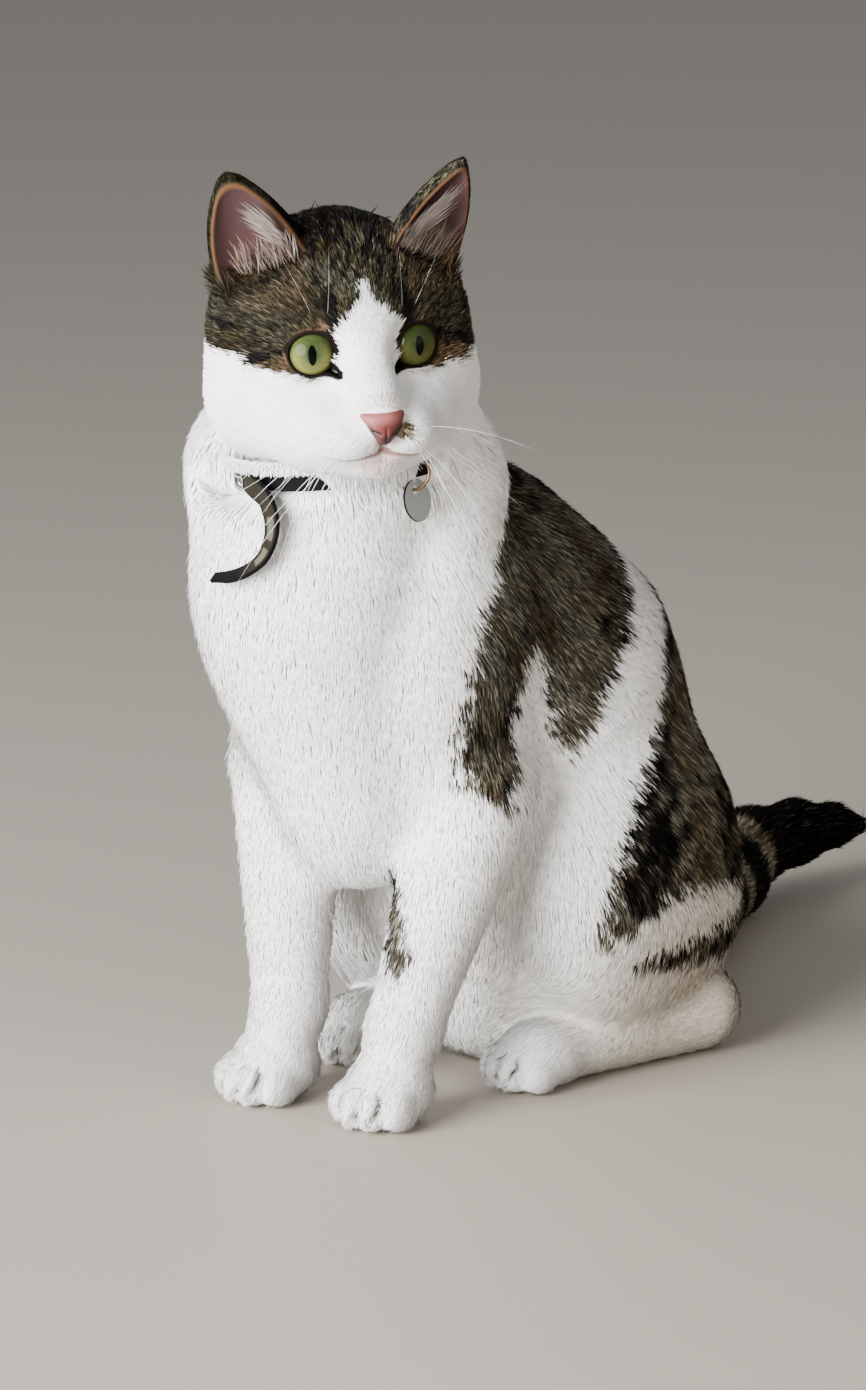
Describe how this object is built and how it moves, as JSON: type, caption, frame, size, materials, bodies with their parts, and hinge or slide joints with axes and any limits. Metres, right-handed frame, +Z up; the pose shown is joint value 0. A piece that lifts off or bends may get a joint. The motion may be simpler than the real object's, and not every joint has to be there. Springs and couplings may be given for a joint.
{
  "type": "domestic cat",
  "caption": "Sitting white and brown tabby cat, life size, head turned to its left, tail out behind, with a collar, loose strap end and round tag.",
  "frame": {"origin": "middle of the object's box in plan, at floor level", "axes": "+Z up, the chest faces -Y, the cat's left side is +X; the head is turned 50 degrees to the cat's left"},
  "size_m": [0.1752, 0.524, 0.3915],
  "materials": {
    "fur_white": "short soft coat, white",
    "fur_tabby": "short soft coat, brown tabby with black streaks",
    "fur_dark": "short dense coat, black with grey rings",
    "ear_skin": "thin ear, short brown down outside, pink skin inside",
    "eye": "wet, yellow-green iris",
    "webbing": "woven band, black",
    "strap_face": "woven band, olive and brown figure",
    "steel": "bright plated",
    "brass": "dull, worn",
    "disc": "satin, blank"
  },
  "bodies": {
    "root": {"head": "fur_white", "ear_left": "ear_skin", "ear_right": "ear_skin", "eye_left": "eye", "eye_right": "eye", "neck": "fur_tabby", "torso": "fur_tabby", "belly": "fur_white", "rump": "fur_tabby", "thigh_left": "fur_white", "thigh_right": "fur_white", "foreleg_left": "fur_white", "foreleg_right": "fur_white", "forepaw_left": "fur_white", "forepaw_right": "fur_white", "hindfoot_left": "fur_white", "hindfoot_right": "fur_white", "hindpaw_left": "fur_white", "hindpaw_right": "fur_white", "tail_base": "fur_dark", "tail_middle": "fur_dark", "tail_tip": "fur_dark", "collar": "webbing", "strap_end": "strap_face", "buckle": "steel", "tag_ring": "brass", "tag_disc": "disc"}
  },
  "joints": []
}
